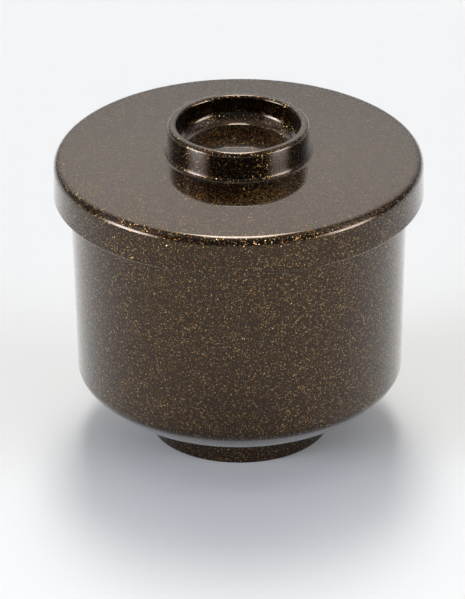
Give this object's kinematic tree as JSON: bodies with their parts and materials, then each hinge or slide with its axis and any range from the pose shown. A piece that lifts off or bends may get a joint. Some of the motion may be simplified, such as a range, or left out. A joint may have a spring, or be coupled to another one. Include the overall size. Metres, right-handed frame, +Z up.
{
  "type": "soup bowl with lid",
  "caption": "Small straight-walled lidded soup bowl on a foot ring, speckled lacquer outside and vermilion inside, with a cap lid and a grip ring.",
  "frame": {"origin": "centre of the underside of the foot ring", "axes": "+Z up along the turning axis of the bowl and the lid; the form is round, so +X and +Y are free, and +Y points away from the picture's viewer"},
  "size_m": [0.085, 0.085, 0.0774],
  "materials": {
    "nashiji_lacquer": "polished dark brown lacquer with fine scattered gold flecks under a clear amber coat",
    "vermilion_lacquer": "polished vermilion lacquer"
  },
  "bodies": {
    "bowl": {"bowl_shell": "nashiji_lacquer", "bowl_lining": "vermilion_lacquer"},
    "lid": {"lid_shell": "nashiji_lacquer", "lid_lining": "vermilion_lacquer"}
  },
  "joints": [
    {"name": "lid_lift", "type": "slide", "parent": "bowl", "child": "lid", "axis": [0, 0, 1], "range_m": [0, 0.07]}
  ]
}
